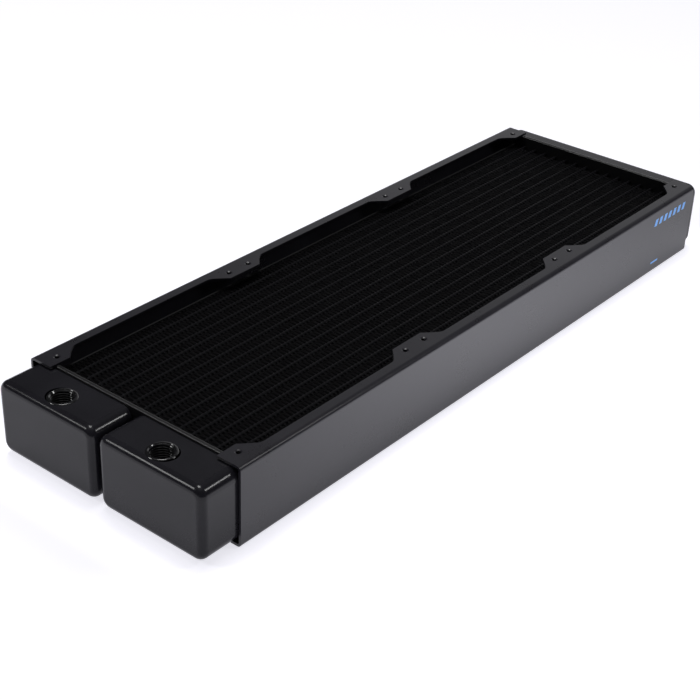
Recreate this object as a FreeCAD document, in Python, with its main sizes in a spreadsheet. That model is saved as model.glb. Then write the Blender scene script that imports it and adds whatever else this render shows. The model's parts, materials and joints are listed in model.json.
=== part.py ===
import FreeCAD, Part
import math
import os

import Sketcher

# Liquid cooling radiator for three fans in a row, in millimetres.
# X runs along the radiator, from the port tanks (-X) to the return tank (+X); Y is across it; Z is up.
# The origin is at the centre of the bounding box's bottom face.

doc = FreeCAD.newDocument("radiator")

# ---------------------------------------------------------------- driving dimensions
DIMENSIONS = {
    "overall_length": 455.0,    # over the port tanks and the return tank
    "case_length": 422.0,       # side panels
    "case_width": 144.0,        # over both side panels
    "case_height": 45.5,        # over both flanges
    "sheet": 1.4,               # side panel steel
    "bend": 2.5,                # outer bend radius of the side panels
    "pattern_x": 6.75,          # middle of the three fan positions
    "fan_pitch": 140.0,         # from one fan's centre to the next
    "bolt_spacing": 124.5,      # between a fan's screws, both ways
    "bolt_radius": 1.25,        # tapping hole for an M3 screw
    "bolt_mouth": 0.7,          # width of the chamfer at each screw hole
    "bolt_mouth_depth": 0.4,
    "flange_edge": 64.8,        # inner edge of the flanges, from the middle plane
    "ear_edge": 57.0,           # inner edge of the screw ears, from the middle plane
    "window_radius": 81.5,      # round opening that shapes the ears, about each fan's centre
    "window_round": 6.0,        # where that opening meets the flange's straight edge
    "header_inset": 3.15,       # from a side panel's end to the header plate's outer face
    "header_thick": 2.4,
    "header_lip_drop": 0.7,     # from the flange's face down to the header lip
    "header_lip_side": 56.5,    # half length of the header lip, between two ears
    "header_round": 0.9,        # on the lip's edges
    "slip": 0.05,               # clearance around brazed and soldered joints
    "tank_drop": 2.1,           # from the flange's face down to the tank's top
    "tank_side": 70.2,          # outer side of the tanks, from the middle plane
    "tank_gap": 3.0,            # between the two port tanks
    "tank_wall": 1.2,
    "tank_corner": 6.0,         # outer corners of the drawn tanks, along X
    "tank_round": 4.0,          # outer edge around each tank's end face
    "tank_rim_round": 0.5,
    "port_x": -216.5,           # middle of both ports
    "port_y": 34.2,
    "thread_radius": 5.72,      # crests of the G1/4 port thread
    "thread_mouth": 6.7,        # countersink at the port's mouth
    "bush_radius": 7.4,
    "bush_rim_radius": 7.8,     # foot of the sloping rim that rests on the tank's top
    "bush_rim_height": 0.4,
    "bush_length": 10.4,
    "tube_count": 14.0,
    "tube_pitch": 8.2,
    "tube_thick": 2.0,
    "tube_wall": 0.3,
    "tube_entry": 1.5,          # how far each tube reaches into the tanks
    "core_depth": 31.0,         # depth of the tubes along the air's path
    "fin_wave": 4.0,            # length of one whole fold
    "fin_crest": 0.5,           # flat of each fold, brazed to the tube
    "fin_thick": 0.2,
    "fin_inset": 0.5,           # fins are this much less deep than the tubes, on each face
    "fin_margin": 1.5,          # from a header plate to the first fold
    "plate_thick": 1.0,         # core side plates
}

dims = doc.addObject("Spreadsheet::Sheet", "dims")
for row, (alias, value) in enumerate(DIMENSIONS.items(), start=1):
    dims.set("A%d" % row, alias)
    dims.set("B%d" % row, str(value))
    dims.setAlias("B%d" % row, alias)
doc.recompute()


def cell(alias):
    """Value of one driving dimension."""
    return float(dims.get(alias))


# ---------------------------------------------------------------- helpers
ORIGIN_POINT = (-1, 1)          # a sketch's own origin, as Sketcher numbers it
START, END, CENTRE = 1, 2, 3    # points of a line or an arc


def bind(thing, **expressions):
    """Bind properties of a document object to expressions in the sheet."""
    for name, expression in expressions.items():
        thing.setExpression(name.replace("_dot_", "."), expression)


def new_body(name, x="0", y="0", z="0"):
    body = doc.addObject("PartDesign::Body", name)
    body.Label = name
    bind(body, Placement_dot_Base_dot_x=x, Placement_dot_Base_dot_y=y, Placement_dot_Base_dot_z=z)
    return body


def new_sketch(body, name, role, offset="0"):
    """A sketch on one of the body's own origin planes, moved along the plane's normal by offset."""
    plane = next(item for item in body.Origin.OriginFeatures if item.Role == role)
    sketch = body.newObject("Sketcher::SketchObject", name)
    sketch.AttachmentSupport = [(plane, "")]
    sketch.MapMode = "FlatFace"
    bind(sketch, AttachmentOffset_dot_Base_dot_z=offset)
    return sketch


def dimension(sketch, kind, *places, size):
    """Add one dimension, bound to an expression in the sheet."""
    start = sketch.evalExpression(size)
    start = float(getattr(start, "Value", start))
    index = sketch.addConstraint(Sketcher.Constraint(kind, *places, start))
    sketch.setExpression("Constraints[%d]" % index, size)


def add_rectangle(sketch, width, height):
    """A rectangle centred on the sketch's origin."""
    half_w = float(sketch.evalExpression(width)) / 2
    half_h = float(sketch.evalExpression(height)) / 2
    corners = [(-half_w, -half_h), (half_w, -half_h), (half_w, half_h), (-half_w, half_h)]
    points = [FreeCAD.Vector(x, y, 0) for x, y in corners]
    lines = [sketch.addGeometry(Part.LineSegment(points[i], points[(i + 1) % 4])) for i in range(4)]
    for i, line in enumerate(lines):
        sketch.addConstraint(Sketcher.Constraint("Coincident", line, END, lines[(i + 1) % 4], START))
        sketch.addConstraint(Sketcher.Constraint("Horizontal" if i % 2 == 0 else "Vertical", line))
    opposite = (lines[0], START, lines[2], START)
    sketch.addConstraint(Sketcher.Constraint("Symmetric", *opposite, *ORIGIN_POINT))
    dimension(sketch, "DistanceX", lines[0], START, lines[0], END, size=width)
    dimension(sketch, "DistanceY", lines[1], START, lines[1], END, size=height)


def add_rounded_rectangle(sketch, width, height, radius):
    """A rectangle centred on the sketch's origin, with round corners."""
    size = float(sketch.evalExpression(radius))
    reach_x = float(sketch.evalExpression(width)) / 2 - size
    reach_y = float(sketch.evalExpression(height)) / 2 - size
    made = []
    for i, (x, y) in enumerate(((-1, -1), (1, -1), (1, 1), (-1, 1))):
        centre = FreeCAD.Vector(x * reach_x, y * reach_y, 0)
        circle = Part.Circle(centre, FreeCAD.Vector(0, 0, 1), size)
        turn = math.pi + i * math.pi / 2
        made.append(sketch.addGeometry(Part.ArcOfCircle(circle, turn, turn + math.pi / 2)))
        out = FreeCAD.Vector(math.cos(turn + math.pi / 2), math.sin(turn + math.pi / 2), 0) * size
        along = FreeCAD.Vector(-out.y, out.x, 0) * (2 * (reach_y if i % 2 else reach_x) / size)
        made.append(sketch.addGeometry(Part.LineSegment(centre + out, centre + out + along)))
    for i, piece in enumerate(made):
        sketch.addConstraint(Sketcher.Constraint("Tangent", piece, END, made[(i + 1) % 8], START))
    for i in (0, 2, 4, 6):
        dimension(sketch, "Radius", made[i], size=radius)
        sketch.addConstraint(Sketcher.Constraint("Vertical" if i % 4 else "Horizontal", made[i + 1]))
    opposite = (made[0], CENTRE, made[4], CENTRE)
    sketch.addConstraint(Sketcher.Constraint("Symmetric", *opposite, *ORIGIN_POINT))
    straight = "(%s) - 2 * (%s)"
    dimension(sketch, "DistanceX", made[0], CENTRE, made[2], CENTRE, size=straight % (width, radius))
    dimension(sketch, "DistanceY", made[2], CENTRE, made[4], CENTRE, size=straight % (height, radius))


def add_slot(sketch, width, height, across="0"):
    """An upright slot with round ends, its middle on the sketch's horizontal axis at across."""
    radius = float(sketch.evalExpression(width)) / 2
    reach = float(sketch.evalExpression(height)) / 2 - radius
    middle = float(sketch.evalExpression(across))
    right, left = middle + radius, middle - radius
    upper = Part.Circle(FreeCAD.Vector(middle, reach, 0), FreeCAD.Vector(0, 0, 1), radius)
    lower = Part.Circle(FreeCAD.Vector(middle, -reach, 0), FreeCAD.Vector(0, 0, 1), radius)
    pieces = [
        Part.LineSegment(FreeCAD.Vector(right, -reach, 0), FreeCAD.Vector(right, reach, 0)),
        Part.ArcOfCircle(upper, 0, math.pi),
        Part.LineSegment(FreeCAD.Vector(left, reach, 0), FreeCAD.Vector(left, -reach, 0)),
        Part.ArcOfCircle(lower, math.pi, 2 * math.pi),
    ]
    line_r, arc_up, line_l, arc_low = [sketch.addGeometry(piece) for piece in pieces]
    joins = ((line_r, END, arc_up, START), (arc_up, END, line_l, START),
             (line_l, END, arc_low, START), (arc_low, END, line_r, START))
    for join in joins:
        sketch.addConstraint(Sketcher.Constraint("Tangent", *join))
    sketch.addConstraint(Sketcher.Constraint("Vertical", line_r))
    sketch.addConstraint(Sketcher.Constraint("Symmetric", arc_up, CENTRE, arc_low, CENTRE, -1))
    dimension(sketch, "DistanceX", *ORIGIN_POINT, arc_up, CENTRE, size=across)
    dimension(sketch, "Radius", arc_up, size="(%s) / 2" % width)
    dimension(sketch, "DistanceY", arc_low, CENTRE, arc_up, CENTRE, size="(%s) - (%s)" % (height, width))


def pad(body, sketch, length):
    feature = body.newObject("PartDesign::Pad", "pad")
    feature.Profile = sketch
    bind(feature, Length=length)
    body.Tip = feature
    doc.recompute()
    return feature


def pocket(body, sketch, length=None, reverse=False):
    """Cut a sketch to a depth, or with no length through everything both ways, and check that it cut."""
    before = body.Shape.Volume
    feature = body.newObject("PartDesign::Pocket", "pocket")
    feature.Profile = sketch
    feature.Reversed = reverse
    if length:
        bind(feature, Length=length)
    else:
        feature.SideType = "Symmetric"
        feature.Type = "ThroughAll"
    body.Tip = feature
    doc.recompute()
    if body.Shape.Volume >= before:
        raise RuntimeError("%s: the pocket cut nothing" % body.Label)
    return feature


def repeat(body, features, sketch, axis, length, count):
    """Repeat features in a straight line along an axis of a sketch."""
    pattern = body.newObject("PartDesign::LinearPattern", "pattern")
    pattern.Originals = features
    pattern.Direction = (sketch, [axis])
    bind(pattern, Length=length, Occurrences=count)
    body.Tip = pattern
    doc.recompute()
    return pattern


def edges_where(shape, test):
    return ["Edge%d" % i for i, edge in enumerate(shape.Edges, start=1) if test(edge)]


def faces_where(shape, test):
    return ["Face%d" % i for i, face in enumerate(shape.Faces, start=1) if test(face)]


def dress(body, kind, names, **sizes):
    """Add a fillet, chamfer or thickness to named edges or faces of the body's tip."""
    base = body.Tip
    feature = body.newObject("PartDesign::%s" % kind, kind.lower())
    feature.Base = (base, names)
    bind(feature, **sizes)
    body.Tip = feature
    doc.recompute()
    if feature.Shape.isNull() or not names:
        raise RuntimeError("%s: %s on %s failed" % (body.Label, kind, names))
    return feature


def within(value, target, margin=0.01):
    return abs(value - target) < margin


# ---------------------------------------------------------------- side panels
def add_window(sketch):
    """The opening over one fan: a circle cut off by the flange's edges, its four corners rounded."""
    radius, edge, corner = cell("window_radius"), cell("flange_edge"), cell("window_round")
    corner_x = math.sqrt((radius - corner) ** 2 - (edge - corner) ** 2)
    corner_y = edge - corner
    tilt = math.atan2(corner_y, corner_x)
    up = FreeCAD.Vector(0, 0, 1)

    def arc(x, y, size, first, last):
        return Part.ArcOfCircle(Part.Circle(FreeCAD.Vector(x, y, 0), up, size), first, last)

    quarter = math.pi / 2
    pieces = [
        arc(0, 0, radius, -tilt, tilt),
        arc(corner_x, corner_y, corner, tilt, quarter),
        Part.LineSegment(FreeCAD.Vector(corner_x, edge, 0), FreeCAD.Vector(-corner_x, edge, 0)),
        arc(-corner_x, corner_y, corner, quarter, math.pi - tilt),
        arc(0, 0, radius, math.pi - tilt, math.pi + tilt),
        arc(-corner_x, -corner_y, corner, math.pi + tilt, 3 * quarter),
        Part.LineSegment(FreeCAD.Vector(-corner_x, -edge, 0), FreeCAD.Vector(corner_x, -edge, 0)),
        arc(corner_x, -corner_y, corner, 3 * quarter, 4 * quarter - tilt),
    ]
    made = [sketch.addGeometry(piece) for piece in pieces]
    for i, piece in enumerate(made):
        sketch.addConstraint(Sketcher.Constraint("Tangent", piece, END, made[(i + 1) % 8], START))
    for side in (made[0], made[4]):
        sketch.addConstraint(Sketcher.Constraint("Coincident", side, CENTRE, *ORIGIN_POINT))
        dimension(sketch, "Radius", side, size="dims.window_radius")
    for corner_arc in (made[1], made[3], made[5], made[7]):
        dimension(sketch, "Radius", corner_arc, size="dims.window_round")
    dimension(sketch, "DistanceY", *ORIGIN_POINT, made[2], START, size="dims.flange_edge")
    dimension(sketch, "DistanceY", made[6], START, *ORIGIN_POINT, size="dims.flange_edge")


def add_bolt_holes(sketch):
    """The two screw holes of one fan on one side."""
    half, radius = cell("bolt_spacing") / 2, cell("bolt_radius")
    for side in (-1, 1):
        circle = Part.Circle(FreeCAD.Vector(side * half, half, 0), FreeCAD.Vector(0, 0, 1), radius)
        hole = sketch.addGeometry(circle)
        ends = (*ORIGIN_POINT, hole, CENTRE) if side > 0 else (hole, CENTRE, *ORIGIN_POINT)
        dimension(sketch, "DistanceX", *ends, size="dims.bolt_spacing / 2")
        dimension(sketch, "DistanceY", *ORIGIN_POINT, hole, CENTRE, size="dims.bolt_spacing / 2")
        dimension(sketch, "Radius", hole, size="dims.bolt_radius")


def side_panel(name, turned):
    """A sheet folded to a channel, open towards the core; turned by 180 degrees for the -Y side."""
    sign = "1" if turned else "-1"
    first_fan = "dims.pattern_x + (%s) * dims.fan_pitch" % sign
    body = new_body(name, x=first_fan, z="dims.case_height / 2")
    if turned:
        body.Placement.Rotation = FreeCAD.Rotation(FreeCAD.Vector(0, 0, 1), 180)

    blank = new_sketch(body, "blank", "YZ_Plane", offset="dims.fan_pitch - dims.case_length / 2")
    blank.setExpression("AttachmentOffset.Base.x", "(dims.case_width / 2 + dims.ear_edge) / 2")
    add_rectangle(blank, "dims.case_width / 2 - dims.ear_edge", "dims.case_height")
    pad(body, blank, "dims.case_length")

    outer, half_height = cell("case_width") / 2, cell("case_height") / 2

    def is_fold(edge):
        middle = edge.CenterOfMass
        along = within(edge.Length, cell("case_length"))
        return along and within(middle.y, outer) and within(abs(middle.z), half_height)

    shape = body.Tip.Shape
    dress(body, "Fillet", edges_where(shape, is_fold), Radius="dims.bend")

    def is_open(face):
        middle = face.CenterOfMass
        end = within(face.BoundBox.XLength, 0)
        return end or (within(middle.y, cell("ear_edge")) and within(face.BoundBox.YLength, 0))

    hollow = dress(body, "Thickness", faces_where(body.Tip.Shape, is_open), Value="dims.sheet")
    hollow.Reversed = True

    window_sketch = new_sketch(body, "window", "XY_Plane")
    add_window(window_sketch)
    window = pocket(body, window_sketch)
    bolt_sketch = new_sketch(body, "bolts", "XY_Plane")
    add_bolt_holes(bolt_sketch)
    bolts = pocket(body, bolt_sketch)
    repeat(body, [window, bolts], window_sketch, "H_Axis", "2 * dims.fan_pitch", "3")

    def is_mouth(edge):
        round_hole = isinstance(edge.Curve, Part.Circle) and within(edge.Curve.Radius, cell("bolt_radius"))
        return round_hole and within(abs(edge.CenterOfMass.z), half_height)

    sizes = {"Size": "dims.bolt_mouth", "Size2": "dims.bolt_mouth_depth"}
    mouths = dress(body, "Chamfer", edges_where(body.Tip.Shape, is_mouth), **sizes)
    mouths.ChamferType = "Two distances"
    doc.recompute()
    return body


# ---------------------------------------------------------------- header plates
HEADER_FRONT_X = "dims.pattern_x - dims.case_length / 2 + dims.header_inset"
HEADER_REAR_X = "dims.pattern_x + dims.case_length / 2 - dims.header_inset - dims.header_thick"


def header_plate(name, x):
    """An upright plate with a slot for every tube, and lips that rise between the ears."""
    body = new_body(name, x=x, z="dims.case_height / 2")
    plate = new_sketch(body, "plate", "YZ_Plane")
    add_rectangle(plate, "dims.case_width - 2 * (dims.sheet + dims.slip)",
                  "dims.case_height - 2 * (dims.sheet + dims.slip)")
    pad(body, plate, "dims.header_thick")
    lip = new_sketch(body, "lip", "YZ_Plane")
    add_rectangle(lip, "2 * dims.header_lip_side", "dims.case_height - 2 * dims.header_lip_drop")
    pad(body, lip, "dims.header_thick")

    lip_top = cell("case_height") / 2 - cell("header_lip_drop")

    def is_lip_edge(edge):
        middle = edge.CenterOfMass
        return within(abs(middle.z), lip_top) and edge.Length > cell("header_lip_side")

    dress(body, "Fillet", edges_where(body.Tip.Shape, is_lip_edge), Radius="dims.header_round")
    slot = new_sketch(body, "slot", "YZ_Plane")
    add_slot(slot, "dims.tube_thick + 2 * dims.slip", "dims.core_depth + 2 * dims.slip",
             across="-(dims.tube_count - 1) / 2 * dims.tube_pitch")
    first = pocket(body, slot)
    repeat(body, [first], slot, "H_Axis", "(dims.tube_count - 1) * dims.tube_pitch", "dims.tube_count")
    return body


# ---------------------------------------------------------------- tanks
def tank(name, x, y, width, depth, opens):
    """A drawn shell with rounded edges, open on its +X side (opens = 1) or its -X side (opens = -1)."""
    body = new_body(name, x=x, y=y, z="dims.case_height / 2")
    outline = new_sketch(body, "outline", "YZ_Plane")
    add_rounded_rectangle(outline, width, "dims.case_height - 2 * dims.tank_drop", "dims.tank_corner")
    pad(body, outline, depth)
    box = body.Shape.BoundBox
    half_width, half_height = box.YLength / 2, box.ZLength / 2
    end_x, open_x = (0, box.XLength) if opens > 0 else (box.XLength, 0)

    cavity = new_sketch(body, "cavity", "YZ_Plane", offset=depth if opens > 0 else "0")
    add_rounded_rectangle(cavity, "(%s) - 2 * dims.tank_wall" % width,
                          "dims.case_height - 2 * (dims.tank_drop + dims.tank_wall)",
                          "dims.tank_corner - dims.tank_wall")
    pocket(body, cavity, "(%s) - dims.tank_wall" % depth, reverse=opens < 0)

    def edges_at(place):
        return edges_where(body.Tip.Shape, lambda edge: (
            within(edge.BoundBox.XLength, 0) and within(edge.CenterOfMass.x, place)))

    def is_rim(edge):
        middle = edge.CenterOfMass
        straight = within(abs(middle.y), half_width) or within(abs(middle.z), half_height)
        return straight and within(edge.BoundBox.XLength, 0) and within(middle.x, open_x)

    inner_x = end_x + opens * cell("tank_wall")
    dress(body, "Fillet", edges_at(inner_x), Radius="dims.tank_round - dims.tank_wall")
    dress(body, "Fillet", edges_at(end_x), Radius="dims.tank_round")
    dress(body, "Fillet", edges_where(body.Tip.Shape, is_rim), Radius="dims.tank_rim_round")
    return body


PORT_TANK_X = "-dims.overall_length / 2"
PORT_TANK_DEPTH = "(%s) - (%s)" % (HEADER_FRONT_X, PORT_TANK_X)
PORT_TANK_WIDTH = "dims.tank_side - dims.tank_gap / 2"
PORT_TANK_Y = "(dims.tank_side + dims.tank_gap / 2) / 2"
RETURN_TANK_X = "(%s) + dims.header_thick" % HEADER_REAR_X
RETURN_TANK_DEPTH = "dims.overall_length / 2 - (%s)" % RETURN_TANK_X


def port_tank(name, side):
    """A tank with a round hole in its top for the port bush."""
    across = "(%d) * %s" % (side, PORT_TANK_Y)
    body = tank(name, PORT_TANK_X, across, PORT_TANK_WIDTH, PORT_TANK_DEPTH, opens=1)
    sketch = new_sketch(body, "port", "XY_Plane")
    middle = (cell("port_x") - body.Placement.Base.x, side * cell("port_y") - body.Placement.Base.y)
    radius = cell("bush_radius") + cell("slip")
    circle = Part.Circle(FreeCAD.Vector(middle[0], middle[1], 0), FreeCAD.Vector(0, 0, 1), radius)
    hole = sketch.addGeometry(circle)
    dimension(sketch, "DistanceX", *ORIGIN_POINT, hole, CENTRE, size="dims.port_x - (%s)" % PORT_TANK_X)
    dimension(sketch, "Radius", hole, size="dims.bush_radius + dims.slip")
    sketch.addConstraint(Sketcher.Constraint("PointOnObject", hole, CENTRE, -1))
    pocket(body, sketch, "dims.case_height / 2", reverse=True)
    return body


# ---------------------------------------------------------------- port bushes
def cylinder(name, radius, height, x, y, z):
    item = doc.addObject("Part::Cylinder", name)
    bind(item, Radius=radius, Height=height,
         Placement_dot_Base_dot_x=x, Placement_dot_Base_dot_y=y, Placement_dot_Base_dot_z=z)
    return item


def cone(name, foot_radius, top_radius, height, x, y, z):
    item = doc.addObject("Part::Cone", name)
    bind(item, Radius1=foot_radius, Radius2=top_radius, Height=height,
         Placement_dot_Base_dot_x=x, Placement_dot_Base_dot_y=y, Placement_dot_Base_dot_z=z)
    return item


def port_bush(name, side):
    """A threaded bush soldered into a tank's top, with a low sloping rim and a countersunk mouth."""
    x, y = "dims.port_x", "(%d) * dims.port_y" % side
    foot = "dims.case_height - dims.tank_drop + dims.slip"
    top = "%s + dims.bush_rim_height" % foot
    bottom = "%s - dims.bush_length" % top
    barrel = cylinder(name + "_barrel", "dims.bush_radius", "dims.bush_length", x, y, bottom)
    bore = cylinder(name + "_bore", "dims.thread_radius", "dims.bush_length", x, y, bottom)
    rim = cone(name + "_rim", "dims.bush_rim_radius", "dims.bush_radius", "dims.bush_rim_height", x, y, foot)
    depth = "(dims.thread_mouth - dims.thread_radius)"
    start = "%s - %s" % (top, depth)
    mouth = cone(name + "_mouth", "dims.thread_radius", "dims.thread_mouth", depth, x, y, start)
    inside = doc.addObject("Part::Fuse", name + "_inside")
    inside.Base, inside.Tool = bore, mouth
    outside = doc.addObject("Part::Fuse", name + "_outside")
    outside.Base, outside.Tool = barrel, rim
    bush = doc.addObject("Part::Cut", name)
    bush.Base, bush.Tool = outside, inside
    bush.Label = name
    return bush


# ---------------------------------------------------------------- core
CORE_X = "(%s) + dims.header_thick" % HEADER_FRONT_X
CORE_LENGTH = "(%s) - (%s)" % (HEADER_REAR_X, CORE_X)
OUTER_FIN_Y = "(dims.tube_count / 2 * dims.tube_pitch + (dims.tube_pitch - dims.tube_thick) / 2)"


def flat_tube(name, index):
    """A flat tube that passes through both header plates and ends just inside the tanks."""
    y = "(%d - (dims.tube_count - 1) / 2) * dims.tube_pitch" % index
    body = new_body(name, x="(%s) - dims.tube_entry" % HEADER_FRONT_X, y=y, z="dims.case_height / 2")
    outline = new_sketch(body, "outline", "YZ_Plane")
    add_slot(outline, "dims.tube_thick", "dims.core_depth")
    pad(body, outline, "(%s) + 2 * (dims.header_thick + dims.tube_entry)" % CORE_LENGTH)

    def is_end(face):
        return within(face.BoundBox.XLength, 0)

    hollow = dress(body, "Thickness", faces_where(body.Tip.Shape, is_end), Value="dims.tube_wall")
    hollow.Reversed = True
    return body


def fold_edge(side, legs, amplitude, mitre):
    """One face of the folded ribbon: side is 1 for the +Y face and -1 for the -Y face."""
    half_wave, half_thick = cell("fin_wave") / 2, cell("fin_thick") / 2
    points = []
    for leg in range(legs):
        rising = 1 if leg % 2 == 0 else -1
        shift = -side * rising * mitre
        foot = leg * half_wave + cell("fin_crest")
        head = (leg + 1) * half_wave
        points.append((foot + shift, side * half_thick - rising * amplitude))
        points.append((head + shift, side * half_thick + rising * amplitude))
    start = (0, side * half_thick - amplitude)
    finish = (legs * half_wave + cell("fin_crest"), points[-1][1])
    return [start] + points + [finish]


def fin_shape():
    """The solid of one fin strip: a ribbon folded to and fro between two tubes, its folds along Z."""
    length = float(dims.evalExpression(CORE_LENGTH)) - 2 * cell("fin_margin")
    legs = int((length - cell("fin_crest")) / (cell("fin_wave") / 2))
    amplitude = (cell("tube_pitch") - cell("tube_thick") - cell("fin_thick")) / 2 - cell("slip")
    slope = math.atan2(2 * amplitude, cell("fin_wave") / 2 - cell("fin_crest"))
    mitre = cell("fin_thick") / 2 * math.tan(slope / 2)
    near, far = (fold_edge(side, legs, amplitude, mitre) for side in (-1, 1))
    outline = [FreeCAD.Vector(x, y, 0) for x, y in near + far[::-1]]
    ribbon = Part.Face(Part.makePolygon(outline + outline[:1]))
    depth = cell("core_depth") - 2 * cell("fin_inset")
    return ribbon.extrude(FreeCAD.Vector(0, 0, depth))


def fin_strip(name, index, shape):
    strip = doc.addObject("Part::Feature", name)
    strip.Label = name
    strip.Shape = shape
    x = float(dims.evalExpression(CORE_X)) + cell("fin_margin")
    y = (index - cell("tube_count") / 2) * cell("tube_pitch")
    z = (cell("case_height") - cell("core_depth")) / 2 + cell("fin_inset")
    strip.Placement = FreeCAD.Placement(FreeCAD.Vector(x, y, z), FreeCAD.Rotation())
    return strip


def core_plate(name, side):
    """A flat plate along the outermost fin strip, from one header plate to the other."""
    plate = doc.addObject("Part::Box", name)
    plate.Label = name
    inner = OUTER_FIN_Y if side > 0 else "-%s - dims.plate_thick" % OUTER_FIN_Y
    bind(plate, Length=CORE_LENGTH, Width="dims.plate_thick", Height="dims.core_depth",
         Placement_dot_Base_dot_x=CORE_X, Placement_dot_Base_dot_y=inner,
         Placement_dot_Base_dot_z="(dims.case_height - dims.core_depth) / 2")
    return plate


# ---------------------------------------------------------------- the assembly
tubes = int(cell("tube_count"))
fin = fin_shape()
nodes = [side_panel("side_panel_left", turned=False), side_panel("side_panel_right", turned=True)]
nodes += [header_plate("header_plate_front", HEADER_FRONT_X)]
nodes += [header_plate("header_plate_rear", HEADER_REAR_X)]
nodes += [port_tank("inlet_tank", 1), port_tank("outlet_tank", -1)]
nodes += [tank("return_tank", RETURN_TANK_X, "0", "2 * dims.tank_side", RETURN_TANK_DEPTH, opens=-1)]
nodes += [port_bush("inlet_port_bush", 1), port_bush("outlet_port_bush", -1)]
nodes += [flat_tube("flat_tube_%02d" % (i + 1), i) for i in range(tubes)]
nodes += [fin_strip("fin_strip_%02d" % (i + 1), i, fin) for i in range(tubes + 1)]
nodes += [core_plate("core_plate_left", 1), core_plate("core_plate_right", -1)]
doc.recompute()

for item in doc.Objects:
    if "Invalid" in item.State or "Error" in item.State:
        raise RuntimeError("%s failed: %s" % (item.Label, item.State))
for node in nodes:
    if node.Shape.isNull() or not node.Shape.isValid():
        raise RuntimeError("%s has no valid shape" % node.Label)

os.makedirs("parts", exist_ok=True)
for node in nodes:
    node.Shape.exportStep("parts/%s.step" % node.Label)
    box = node.Shape.BoundBox
    print("%-20s x %8.2f %8.2f  y %7.2f %7.2f  z %6.2f %6.2f  %10.1f mm3" % (
        node.Label, box.XMin, box.XMax, box.YMin, box.YMax, box.ZMin, box.ZMax, node.Shape.Volume))
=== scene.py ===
import json
import math
import random

import bpy
from mathutils import Euler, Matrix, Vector


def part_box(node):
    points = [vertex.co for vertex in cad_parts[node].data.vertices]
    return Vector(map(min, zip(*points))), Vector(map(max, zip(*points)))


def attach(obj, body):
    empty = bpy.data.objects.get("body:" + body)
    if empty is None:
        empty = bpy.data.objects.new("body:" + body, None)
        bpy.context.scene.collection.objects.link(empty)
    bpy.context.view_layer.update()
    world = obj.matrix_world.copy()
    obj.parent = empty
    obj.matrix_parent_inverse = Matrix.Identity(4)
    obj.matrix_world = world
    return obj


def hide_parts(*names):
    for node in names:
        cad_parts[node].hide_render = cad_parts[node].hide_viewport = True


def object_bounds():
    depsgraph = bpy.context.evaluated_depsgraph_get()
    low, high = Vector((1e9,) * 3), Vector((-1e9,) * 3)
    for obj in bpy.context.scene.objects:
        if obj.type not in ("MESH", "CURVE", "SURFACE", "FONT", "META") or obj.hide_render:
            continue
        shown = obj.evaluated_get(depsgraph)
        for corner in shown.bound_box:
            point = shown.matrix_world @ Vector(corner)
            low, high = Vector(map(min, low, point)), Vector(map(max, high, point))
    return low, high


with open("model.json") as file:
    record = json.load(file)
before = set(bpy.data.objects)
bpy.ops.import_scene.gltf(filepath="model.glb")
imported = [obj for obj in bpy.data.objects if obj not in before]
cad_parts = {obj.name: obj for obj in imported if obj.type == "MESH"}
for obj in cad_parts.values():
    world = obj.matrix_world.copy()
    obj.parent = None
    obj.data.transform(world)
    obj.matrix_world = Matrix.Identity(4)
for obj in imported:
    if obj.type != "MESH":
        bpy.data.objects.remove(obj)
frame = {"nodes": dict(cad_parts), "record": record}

# A liquid cooling radiator on a pale floor, in metres, in the frame of the CAD model:
# X runs from the port tanks to the return tank, Y across, Z up.

NODES = frame["nodes"]
MOUNTS = {mount["name"]: mount for mount in frame["record"]["mounts"]}
MM = 0.001
CAD_LOW, CAD_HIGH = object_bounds()


# ---------------------------------------------------------------- camera
AIM = Vector((-60.1, -17.4, 22.75)) * MM    # where the camera looks
AIM_DISTANCE = 0.8125
AZIMUTH = math.radians(-51.5)               # 0 looks along +Y
ELEVATION = math.radians(30.52)
ROLL = math.radians(2.23)
LENS_MM = 77.2
SENSOR_MM = 36.0
CLIP_NEAR, CLIP_FAR = 0.01, 50.0


def make_camera():
    data = bpy.data.cameras.new("camera")
    data.lens, data.sensor_width = LENS_MM, SENSOR_MM
    data.clip_start, data.clip_end = CLIP_NEAR, CLIP_FAR
    camera = bpy.data.objects.new("camera", data)
    bpy.context.scene.collection.objects.link(camera)
    across = math.cos(ELEVATION)
    back = Vector((math.sin(AZIMUTH) * across, -math.cos(AZIMUTH) * across, math.sin(ELEVATION)))
    camera.location = AIM + back * AIM_DISTANCE
    camera.rotation_mode = "QUATERNION"
    turn = Euler((0.0, 0.0, ROLL)).to_quaternion()
    camera.rotation_quaternion = (-back).to_track_quat("-Z", "Y") @ turn
    bpy.context.scene.camera = camera


# ---------------------------------------------------------------- shader helpers
WAVE_TEXTURE_STEP = 10.0                    # a Wave texture at scale 1 repeats every pi over this
MIX_FIRST, MIX_SECOND, MIX_OUT = 6, 7, 2    # a Mix node's colour sockets


def add_node(tree, kind, **settings):
    """A node with some of its inputs or properties set.

    An underscore stands for a space in an input's name.
    """
    node = tree.nodes.new(kind)
    for key, value in settings.items():
        socket = key.replace("_", " ")
        if socket in node.inputs:
            node.inputs[socket].default_value = value
        else:
            setattr(node, key, value)
    return node


def math_node(tree, operation, first, second):
    """A Math node whose two operands are sockets or numbers."""
    node = add_node(tree, "ShaderNodeMath", operation=operation)
    for socket, value in zip(node.inputs, (first, second)):
        if isinstance(value, bpy.types.NodeSocket):
            tree.links.new(value, socket)
        else:
            socket.default_value = value
    return node.outputs[0]


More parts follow.
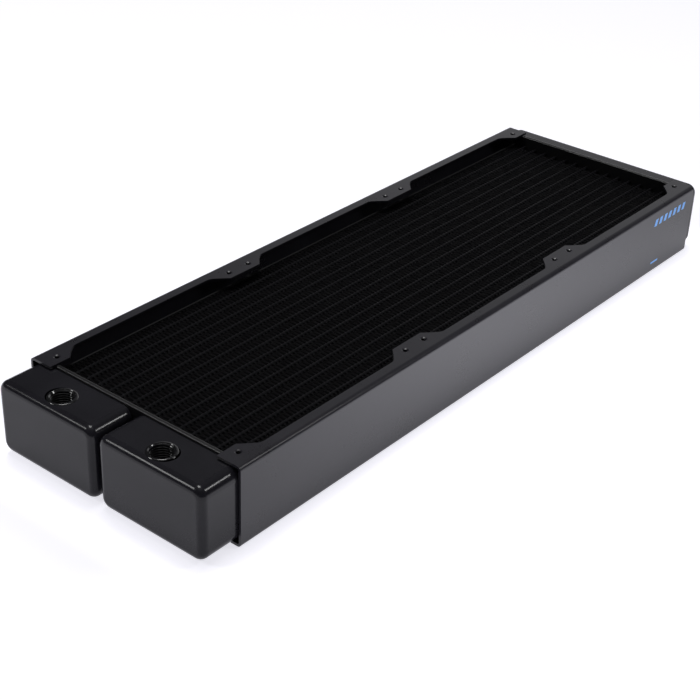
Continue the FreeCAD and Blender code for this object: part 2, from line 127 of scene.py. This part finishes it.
def noise(tree, position, size_mm, detail=2.0, roughness=0.5):
    """Noise whose grains are about size_mm across, from 0 to 1 around a middle of 0.5."""
    scale = 1.0 / (size_mm * MM)
    node = add_node(tree, "ShaderNodeTexNoise", Scale=scale, Detail=detail, Roughness=roughness)
    tree.links.new(position, node.inputs["Vector"])
    return node.outputs["Fac"]


def waves(tree, position, length_mm, **settings):
    """Straight waves that repeat every length_mm, from 0 to 1."""
    scale = math.pi / (WAVE_TEXTURE_STEP * length_mm * MM)
    node = add_node(tree, "ShaderNodeTexWave", Scale=scale, **settings)
    tree.links.new(position, node.inputs["Vector"])
    return node.outputs["Fac"]


def split_axes(tree, vector):
    """The X, Y and Z outputs of a vector."""
    split = add_node(tree, "ShaderNodeSeparateXYZ")
    tree.links.new(vector, split.inputs[0])
    return split.outputs


def spread(tree, value, low, high, start=0.3, stop=0.7):
    """Map start to stop of a value onto low to high, and no further."""
    node = add_node(tree, "ShaderNodeMapRange", From_Min=start, From_Max=stop, To_Min=low, To_Max=high)
    tree.links.new(value, node.inputs["Value"])
    return node.outputs["Result"]


def blend_colour(tree, share, first, second):
    """Mix two colours, given as numbers."""
    node = add_node(tree, "ShaderNodeMix", data_type="RGBA")
    node.inputs[MIX_FIRST].default_value = (*first, 1.0)
    node.inputs[MIX_SECOND].default_value = (*second, 1.0)
    tree.links.new(share, node.inputs[0])
    return node.outputs[MIX_OUT]


def add_bump(tree, shader, height, depth_mm, normal=None):
    """Bump of depth_mm for a height from 0 to 1, on top of an earlier bump if one is given."""
    bump = add_node(tree, "ShaderNodeBump", Strength=1.0, Distance=depth_mm * MM)
    tree.links.new(height, bump.inputs["Height"])
    if normal:
        tree.links.new(normal, bump.inputs["Normal"])
    tree.links.new(bump.outputs["Normal"], shader.inputs["Normal"])
    return bump.outputs["Normal"]


def new_material(name):
    material = bpy.data.materials.new(name)
    material.use_nodes = True
    tree = material.node_tree
    position = add_node(tree, "ShaderNodeTexCoord").outputs["Object"]
    return material, tree, tree.nodes["Principled BSDF"], position


# ---------------------------------------------------------------- materials
CASE_BLACK = (0.0165, 0.0157, 0.0205)
TANK_BLACK = (0.0118, 0.0114, 0.0148)
HEADER_BLACK = (0.0070, 0.0070, 0.0080)
PLATING_BLACK = (0.0060, 0.0060, 0.0070)
PLATE_BLACK = (0.0045, 0.0045, 0.0050)
TUBE_DARK, TUBE_PALE = (0.0034, 0.0033, 0.0041), (0.0085, 0.0083, 0.0098)
FIN_DARK, FIN_PALE = (0.0065, 0.0063, 0.0078), (0.0130, 0.0126, 0.0152)
INK_DARK, INK_PALE = (0.10, 0.33, 0.78), (0.16, 0.44, 0.92)

CLOUD_MM, SPECK_MM, SWELL_MM = 22.0, 1.4, 9.0   # grains of a coat's clouds, specks and slow waviness
CLOUD_SHARE = 0.6                               # clouds in a coat's unevenness; the rest is specks
TONE_RANGE, GLOSS_RANGE = 0.22, 0.1             # how far colour and roughness stray, as shares
SHINE_LOW, SHINE_HIGH = 4.0 * MM, 40.0 * MM     # heights between which a coat's shine grows: painted shade at the foot


def paint(name, colour, roughness, peel_mm, peel_depth_mm, swell_depth_mm=0.0,
          specular=0.5, low_specular=None):
    """Sprayed black paint: cloudy colour and gloss, an orange peel, and a slow waviness under it.

    With low_specular the coat shines less towards the object's foot: painted shade, a darker foot.
    """
    material, tree, shader, position = new_material(name)
    cloud = math_node(tree, "MULTIPLY", noise(tree, position, CLOUD_MM, detail=3.0), CLOUD_SHARE)
    grain = noise(tree, position, SPECK_MM, detail=4.0, roughness=0.6)
    speck = math_node(tree, "MULTIPLY", grain, 1.0 - CLOUD_SHARE)
    shade = math_node(tree, "ADD", cloud, speck)
    dark, pale = [[c * tone for c in colour] for tone in (1.0 - TONE_RANGE, 1.0 + TONE_RANGE)]
    tone = blend_colour(tree, spread(tree, shade, 0.0, 1.0), dark, pale)
    tree.links.new(tone, shader.inputs["Base Color"])
    gloss = spread(tree, shade, roughness * (1.0 - GLOSS_RANGE), roughness * (1.0 + GLOSS_RANGE))
    tree.links.new(gloss, shader.inputs["Roughness"])
    if low_specular is None:
        shader.inputs["Specular IOR Level"].default_value = specular
    else:
        # Painted shade: the shine falls off towards the foot.
        height = split_axes(tree, position)["Z"]
        shine = spread(tree, height, low_specular, specular, SHINE_LOW, SHINE_HIGH)
        tree.links.new(shine, shader.inputs["Specular IOR Level"])

    peel = noise(tree, position, peel_mm, detail=3.0, roughness=0.55)
    normal = add_bump(tree, shader, peel, peel_depth_mm)
    if swell_depth_mm:
        add_bump(tree, shader, noise(tree, position, SWELL_MM, detail=1.0), swell_depth_mm, normal)
    return material


def tube_paint(bead_mm):
    """Thin paint on the flat tubes, gathered in a small bead at each fold of the fins."""
    material, tree, shader, position = new_material("tube_paint")
    rows = waves(tree, position, bead_mm, Distortion=1.6, Detail=2.0, Detail_Scale=0.7)
    speck = noise(tree, position, size_mm=1.1, detail=3.0, roughness=0.6)
    beads = math_node(tree, "MULTIPLY", rows, speck)
    tone = blend_colour(tree, spread(tree, beads, 0.0, 1.0, start=0.05, stop=0.5), TUBE_DARK, TUBE_PALE)
    tree.links.new(tone, shader.inputs["Base Color"])
    gloss = spread(tree, beads, 0.52, 0.32, start=0.1, stop=0.45)
    tree.links.new(gloss, shader.inputs["Roughness"])
    shader.inputs["Specular IOR Level"].default_value = 0.05
    add_bump(tree, shader, beads, depth_mm=0.16)
    return material


def fin_paint(slit_mm):
    """Thin matt paint on the folded fins, which have a row of slits down each leg."""
    material, tree, shader, position = new_material("fin_paint")
    dust = noise(tree, position, size_mm=2.2, detail=4.0, roughness=0.65)
    tone = blend_colour(tree, spread(tree, dust, 0.0, 1.0), FIN_DARK, FIN_PALE)
    tree.links.new(tone, shader.inputs["Base Color"])
    tree.links.new(spread(tree, dust, 0.5, 0.7), shader.inputs["Roughness"])
    shader.inputs["Specular IOR Level"].default_value = 0.3
    slits = waves(tree, position, slit_mm, bands_direction="Z", wave_profile="SAW", Distortion=0.2)
    add_bump(tree, shader, slits, depth_mm=0.25)
    return material


def print_ink():
    """Blue printing that covers a little unevenly."""
    material, tree, shader, position = new_material("print_ink")
    cover = noise(tree, position, size_mm=0.5)
    tone = blend_colour(tree, spread(tree, cover, 0.0, 1.0), INK_DARK, INK_PALE)
    tree.links.new(tone, shader.inputs["Base Color"])
    tree.links.new(spread(tree, cover, 0.34, 0.46), shader.inputs["Roughness"])
    add_bump(tree, shader, cover, depth_mm=0.01)
    return material


def dress(material, *names):
    """Give CAD nodes a material."""
    for name in names:
        slots = NODES[name].data.materials
        slots.clear()
        slots.append(material)


# ---------------------------------------------------------------- mesh helpers
def make_piece(name, points, faces, material, stands_for=(), sharp=40.0):
    """A mesh piece that rides with the part, smooth except across edges sharper than sharp degrees."""
    mesh = bpy.data.meshes.new(name)
    mesh.from_pydata([Vector(point) for point in points], [], faces)
    mesh.materials.append(material)
    mesh.shade_smooth()
    mesh.set_sharp_from_angle(angle=math.radians(sharp))
    piece = bpy.data.objects.new(name, mesh)
    bpy.context.scene.collection.objects.link(piece)
    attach(piece, "root")
    if stands_for:
        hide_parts(*stands_for)


# ---------------------------------------------------------------- fins
FIN_WAVE = 2.7 * MM         # one whole fold
FIN_THICK = 0.12 * MM
FIN_CREST = 0.62 * MM       # flat of each fold
FIN_ROUND = 0.28 * MM       # from a fold's corner to where its curve starts
FIN_WANDER = 0.07 * MM      # how unevenly the folds lie
FIN_SLIT_MM = 1.1
LEAST_COSINE = 0.5          # limits how far a tight corner shoots out when a path is offset


def rounded(path, reach):
    """The path with each corner cut to a short curve that starts and ends reach away from it."""
    out = [path[0]]
    for before, here, after in zip(path, path[1:], path[2:]):
        start = here + (before - here).normalized() * reach
        end = here + (after - here).normalized() * reach
        out += [start, (start + here * 2 + end) / 4, end]
    return out + [path[-1]]


def offset(path, distance):
    """The path moved sideways, to its left for a positive distance."""
    out = []
    for i, here in enumerate(path):
        into = (here - path[max(i - 1, 0)]).normalized()
        away = (path[min(i + 1, len(path) - 1)] - here).normalized()
        along = (into + away).normalized()
        turn = max(along.dot(away if away.length else into), LEAST_COSINE)
        out.append(here + Vector((-along.y, along.x)) * (distance / turn))
    return out


def fin_path(length, height, chance):
    """The middle line of a folded ribbon, in its own X and Y."""
    half_wave, lift = FIN_WAVE / 2, (height - FIN_THICK) / 2
    folds = int((length - FIN_CREST) / half_wave) + 1
    path = []
    for fold in range(folds):
        x = FIN_CREST / 2 + fold * half_wave + chance.uniform(-FIN_WANDER, FIN_WANDER)
        y = lift if fold % 2 else -lift
        path += [Vector((x - FIN_CREST / 2, y)), Vector((x + FIN_CREST / 2, y))]
    return rounded(path, FIN_ROUND)


def make_fin(node, material):
    """A folded ribbon in the place of one fin strip of the CAD model."""
    low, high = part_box(node)
    chance = random.Random(int(node[-2:]))
    path = fin_path(high.x - low.x, high.y - low.y, chance)
    left, right = offset(path, FIN_THICK / 2), offset(path, -FIN_THICK / 2)
    middle = (low.y + high.y) / 2
    points = []
    for a, b in zip(left, right):
        for point in (a, b):
            points += [(low.x + point.x, middle + point.y, z) for z in (low.z, high.z)]
    faces = [(0, 1, 3, 2), tuple(len(points) - 4 + i for i in (0, 2, 3, 1))]
    for i in range(0, len(points) - 4, 4):
        j = i + 4
        faces += [(i, j, j + 1, i + 1), (i + 2, i + 3, j + 3, j + 2),
                  (i + 1, j + 1, j + 3, i + 3), (i, i + 2, j + 2, j)]
    make_piece("folded_" + node, points, faces, material, [node], sharp=50.0)


# ---------------------------------------------------------------- threaded ports
THREAD_PITCH = 1.337 * MM       # G1/4
THREAD_MAJOR = 6.578 * MM       # radius at the roots
THREAD_STEEPNESS = 1.3          # above 1, the V ends in flats
MOUTH_RADIUS = 6.72 * MM        # countersink at the top
MOUTH_SLOPE = 0.9               # how much narrower the countersink gets for each unit of depth
BUSH_EDGE = 0.12 * MM           # softened edge around the rim's top
RIM_GAP = 0.05 * MM             # solder between the tank's top and the rim's foot
TURN_STEPS = 72
STEPS_A_PITCH = 12
TURNS = [2 * math.pi * k / TURN_STEPS for k in range(TURN_STEPS)]


def thread_radius(z, angle, minor):
    """Radius of the thread's wall: a symmetric V with narrow flats at its roots and crests."""
    phase = (z / THREAD_PITCH - angle / (2 * math.pi)) % 1.0
    slope = 1.0 - abs(4.0 * phase - 2.0)
    share = min(max(slope * THREAD_STEEPNESS, -1.0), 1.0)
    return minor + (THREAD_MAJOR - minor) * (0.5 + 0.5 * share)


def make_port(node, mount, material):
    """A bush with a real helical thread and a countersunk mouth."""
    low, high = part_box(node)
    centre = Vector(((low.x + high.x) / 2, (low.y + high.y) / 2))
    minor = MOUNTS[mount]["dims"]["r_mm"] * MM
    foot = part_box("inlet_tank")[1].z + RIM_GAP
    rim = (high.x - low.x) / 2
    barrel = rim - (high.z - foot)      # the rim slopes at 45 degrees
    depth = high.z - low.z
    levels = int(depth / THREAD_PITCH * STEPS_A_PITCH)
    rings = []
    for i in range(levels + 1):
        z = low.z + depth * i / levels
        mouth = MOUTH_RADIUS - (high.z - z) * MOUTH_SLOPE
        rings.append([(max(thread_radius(z, turn, minor), mouth), z) for turn in TURNS])
    outside = [(barrel - BUSH_EDGE, high.z), (barrel + BUSH_EDGE, high.z - BUSH_EDGE), (rim, foot),
               (barrel, foot), (barrel, low.z)]
    rings += [[place] * TURN_STEPS for place in outside]

    points = [(centre.x + r * math.cos(turn), centre.y + r * math.sin(turn), z)
              for ring in rings for (r, z), turn in zip(ring, TURNS)]
    faces = []
    for i in range(len(rings)):
        j = (i + 1) % len(rings)
        for k in range(TURN_STEPS):
            n = (k + 1) % TURN_STEPS
            corners = ((i, k), (j, k), (j, n), (i, n))
            faces.append(tuple(row * TURN_STEPS + column for row, column in corners))
    make_piece("threaded_" + node, points, faces, material, [node], sharp=35.0)


# ---------------------------------------------------------------- printed marks
MARK_PROUD = 0.04 * MM          # thickness of the printing
BAR_COUNT = 7
BAR_STEP = 5.7 * MM             # from one bar to the next
BAR_WIDE, BAR_TALL, BAR_LEAN = 3.1 * MM, 4.6 * MM, 1.3 * MM
BAR_FROM_END = 10.5 * MM        # from the panel's far end to the first bar
BAR_LOW = 33.7 * MM             # above the panel's lower edge
DASH_WIDE, DASH_TALL = 8.6 * MM, 1.3 * MM
DASH_FROM_END = 37.0 * MM
DASH_LOW = 6.9 * MM


def plate_points(x, z, wide, tall, lean, y):
    """A leaning plate on the panel's outer face at y: four corners on the face and four proud of it."""
    corners = [(x, z), (x + wide, z), (x + wide + lean, z + tall), (x + lean, z + tall)]
    return [(cx, depth, cz) for depth in (y, y - MARK_PROUD) for cx, cz in corners]


def make_marks(material):
    """Plain bars printed near the far end of one side: decoration, not letters."""
    low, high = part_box("side_panel_right")
    plates = []
    for i in range(BAR_COUNT):
        x = high.x - BAR_FROM_END - BAR_WIDE - i * BAR_STEP
        plates.append(plate_points(x, low.z + BAR_LOW, BAR_WIDE, BAR_TALL, BAR_LEAN, low.y))
    x = high.x - DASH_FROM_END - DASH_WIDE
    plates.append(plate_points(x, low.z + DASH_LOW, DASH_WIDE, DASH_TALL, 0.0, low.y))
    points = [point for plate in plates for point in plate]
    faces = []
    for start in range(0, len(points), 8):
        sides = [(i, i + 4, (i + 1) % 4 + 4, (i + 1) % 4) for i in range(4)]
        faces += [tuple(start + i for i in face) for face in [(3, 2, 1, 0), (4, 5, 6, 7)] + sides]
    make_piece("printed_bars", points, faces, material)


# ---------------------------------------------------------------- stage
FLOOR_REACH = 6.0
FLOOR_PALE = (0.82, 0.815, 0.865)
GLOW_COLOUR = (0.94, 0.935, 1.0)
FLOOR_CLOUD = 0.01                      # how much darker the floor's clouds are
GLOW_NEAR, GLOW_AWAY = 0.74, 0.47       # painted light: floor glow beside the object, and GLOW_FADE away from it
GLOW_FADE = 30.0 * MM
POOL = 1.35                             # extra glow in the middle of a painted pool of light
POOL_MIDDLE = Vector((20.0, -160.0, 0.0)) * MM
POOL_REACH = 260.0 * MM


def painted_floor_light(tree, position):
    """Painted light: emission that lightens the floor right beside the object, where its shadow would fall,
    and a painted pool of light off its right side.
    """
    axes = split_axes(tree, position)
    gaps = [math_node(tree, "SUBTRACT", math_node(tree, "ABSOLUTE", axes[axis], 0.0), edge)
            for axis, edge in (("X", CAD_HIGH.x), ("Y", CAD_HIGH.y))]
    away = math_node(tree, "MAXIMUM", *gaps)
    beside = spread(tree, away, GLOW_NEAR, GLOW_AWAY, 0.0, GLOW_FADE)

    to_middle = add_node(tree, "ShaderNodeVectorMath", operation="DISTANCE")
    tree.links.new(position, to_middle.inputs[0])
    to_middle.inputs[1].default_value = POOL_MIDDLE
    pool = spread(tree, to_middle.outputs["Value"], POOL, 0.0, 0.0, POOL_REACH)
    share = spread(tree, away, 0.0, 1.0, 0.0, GLOW_FADE)
    return math_node(tree, "ADD", beside, math_node(tree, "MULTIPLY", pool, share))


def make_floor():
    mesh = bpy.data.meshes.new("floor")
    signs = ((-1, -1), (1, -1), (1, 1), (-1, 1))
    corners = [(x * FLOOR_REACH, y * FLOOR_REACH, 0.0) for x, y in signs]
    mesh.from_pydata(corners, [], [(0, 1, 2, 3)])
    floor = bpy.data.objects.new("floor", mesh)
    bpy.context.scene.collection.objects.link(floor)
    material, tree, shader, position = new_material("pale_floor")
    dim = [c * (1.0 - FLOOR_CLOUD) for c in FLOOR_PALE]
    tone = blend_colour(tree, noise(tree, position, size_mm=300.0), dim, FLOOR_PALE)
    tree.links.new(tone, shader.inputs["Base Color"])
    shader.inputs["Roughness"].default_value = 0.7
    shader.inputs["Specular IOR Level"].default_value = 0.1
    shader.inputs["Emission Color"].default_value = (*GLOW_COLOUR, 1.0)
    # The floor's emission is painted light: a glow beside the object and a painted pool of light.
    tree.links.new(painted_floor_light(tree, position), shader.inputs["Emission Strength"])
    mesh.materials.append(material)


# Brightness of the room and of the pale wall, by elevation in degrees.
ROOM = [(0, 0.03), (20, 0.03), (40, 0.05), (55, 0.10), (70, 0.35), (90, 0.50)]
WALL = [(0, 1.00), (10, 0.84), (20, 0.52), (28, 0.39), (36, 0.14), (46, 0.04), (90, 0.0)]
BLUE_CAST = 1.02
# Azimuths in degrees, 0 at +X: the middle, then how far the full strength reaches and where it ends.
WALL_AZIMUTH, WALL_NARROW, WALL_WIDE = 12.0, 20.0, 44.0
FLAG_AZIMUTH, FLAG_NARROW, FLAG_WIDE = -36.0, 14.0, 26.0


def facing(tree, direction, azimuth, narrow, wide):
    """1 where a direction lies within narrow degrees of an azimuth, 0 beyond wide degrees; 0 is +X."""
    flat = add_node(tree, "ShaderNodeVectorMath", operation="MULTIPLY")
    tree.links.new(direction, flat.inputs[0])
    flat.inputs[1].default_value = (1.0, 1.0, 0.0)
    unit = add_node(tree, "ShaderNodeVectorMath", operation="NORMALIZE")
    tree.links.new(flat.outputs[0], unit.inputs[0])
    dot = add_node(tree, "ShaderNodeVectorMath", operation="DOT_PRODUCT")
    tree.links.new(unit.outputs[0], dot.inputs[0])
    turn = math.radians(azimuth)
    dot.inputs[1].default_value = (math.cos(turn), math.sin(turn), 0.0)
    edge = add_node(tree, "ShaderNodeMapRange", interpolation_type="SMOOTHSTEP",
                    From_Min=math.cos(math.radians(wide)), From_Max=math.cos(math.radians(narrow)))
    tree.links.new(dot.outputs["Value"], edge.inputs["Value"])
    return edge.outputs["Result"]


def by_height(tree, height, stops):
    """A near grey that changes with a direction's height: stops are (elevation in degrees, brightness)."""
    fade = add_node(tree, "ShaderNodeValToRGB")
    elements = fade.color_ramp.elements
    while len(elements) < len(stops):
        elements.new(1.0)
    for element, (elevation, brightness) in zip(elements, stops):
        element.position = max(math.sin(math.radians(elevation)), 0.0)
        element.color = (brightness, brightness, brightness * BLUE_CAST, 1.0)
    tree.links.new(height, fade.inputs["Fac"])
    return fade.outputs["Color"]


def make_world():
    """A dim room, with a pale wall behind the object that a dark flag cuts off; white to the camera."""
    world = bpy.data.worlds.new("studio")
    bpy.context.scene.world = world
    world.use_nodes = True
    tree = world.node_tree
    direction = add_node(tree, "ShaderNodeTexCoord").outputs["Generated"]
    height = split_axes(tree, direction)["Z"]

    wall = facing(tree, direction, WALL_AZIMUTH, WALL_NARROW, WALL_WIDE)
    flag = facing(tree, direction, FLAG_AZIMUTH, FLAG_NARROW, FLAG_WIDE)
    open_wall = math_node(tree, "MULTIPLY", wall, math_node(tree, "SUBTRACT", 1.0, flag))
    scaled = add_node(tree, "ShaderNodeVectorMath", operation="SCALE")
    tree.links.new(by_height(tree, height, WALL), scaled.inputs[0])
    tree.links.new(open_wall, scaled.inputs["Scale"])
    total = add_node(tree, "ShaderNodeVectorMath", operation="ADD")
    tree.links.new(by_height(tree, height, ROOM), total.inputs[0])
    tree.links.new(scaled.outputs[0], total.inputs[1])

    lit, plain = tree.nodes["Background"], add_node(tree, "ShaderNodeBackground")
    tree.links.new(total.outputs[0], lit.inputs["Color"])
    seen = add_node(tree, "ShaderNodeLightPath").outputs["Is Camera Ray"]
    mix = add_node(tree, "ShaderNodeMixShader")
    tree.links.new(seen, mix.inputs[0])
    tree.links.new(lit.outputs[0], mix.inputs[1])
    tree.links.new(plain.outputs[0], mix.inputs[2])
    tree.links.new(mix.outputs[0], tree.nodes["World Output"].inputs["Surface"])
    plain.inputs["Color"].default_value = (1.0, 1.0, 1.0, 1.0)


LAMP_AIM = Vector((-200.0, -30.0, 40.0)) * MM      # between the port tanks


def softbox(name, azimuth, elevation, distance, width, height, radiance):
    """A soft lamp in a direction from the port tanks, aimed at them; azimuth 0 is +X."""
    data = bpy.data.lights.new(name, "AREA")
    data.shape, data.size, data.size_y = "RECTANGLE", width, height
    data.energy = radiance * math.pi * width * height
    lamp = bpy.data.objects.new(name, data)
    bpy.context.scene.collection.objects.link(lamp)
    turn, lift = math.radians(azimuth), math.radians(elevation)
    away = Vector((math.cos(turn) * math.cos(lift), math.sin(turn) * math.cos(lift), math.sin(lift)))
    lamp.location = LAMP_AIM + away * distance
    lamp.rotation_mode = "QUATERNION"
    lamp.rotation_quaternion = (-away).to_track_quat("-Z", "Y")
    lamp.visible_camera = False


def make_lights():
    softbox("softbox_top", azimuth=45.0, elevation=78.0, distance=2.6, width=0.9, height=0.9, radiance=12.0)
    softbox("softbox_left", azimuth=136.0, elevation=36.0, distance=1.8, width=0.45, height=0.4,
            radiance=10.0)
    softbox("softbox_right", azimuth=-46.0, elevation=36.0, distance=1.2, width=0.20, height=0.13,
            radiance=18.0)


# ---------------------------------------------------------------- making it
make_camera()
make_floor()
make_world()
make_lights()

case = paint("case_paint", CASE_BLACK, roughness=0.29, specular=0.36,
             peel_mm=0.8, peel_depth_mm=0.012, swell_depth_mm=0.02)
# The tanks' shine drops towards the floor: painted shade at their foot.
tank = paint("tank_paint", TANK_BLACK, roughness=0.19, specular=0.27, low_specular=0.14,
             peel_mm=1.3, peel_depth_mm=0.006, swell_depth_mm=0.02)
header = paint("header_paint", HEADER_BLACK, roughness=0.32, peel_mm=0.8, peel_depth_mm=0.01)
plate = paint("core_plate_paint", PLATE_BLACK, roughness=0.55, specular=0.3,
              peel_mm=1.0, peel_depth_mm=0.01)
plating = paint("port_finish", PLATING_BLACK, roughness=0.16, specular=0.75,
                peel_mm=0.6, peel_depth_mm=0.001)
dress(case, "side_panel_left", "side_panel_right")
dress(header, "header_plate_front", "header_plate_rear")
dress(tank, "inlet_tank", "outlet_tank", "return_tank")
dress(plate, "core_plate_left", "core_plate_right")
dress(tube_paint(FIN_WAVE / MM), *[name for name in NODES if name.startswith("flat_tube")])

fins = fin_paint(FIN_SLIT_MM)
for fin_node in [name for name in NODES if name.startswith("fin_strip")]:
    make_fin(fin_node, fins)
make_port("inlet_port_bush", "inlet_port", plating)
make_port("outlet_port_bush", "outlet_port", plating)
make_marks(print_ink())

bpy.context.scene.view_settings.view_transform = "Standard"
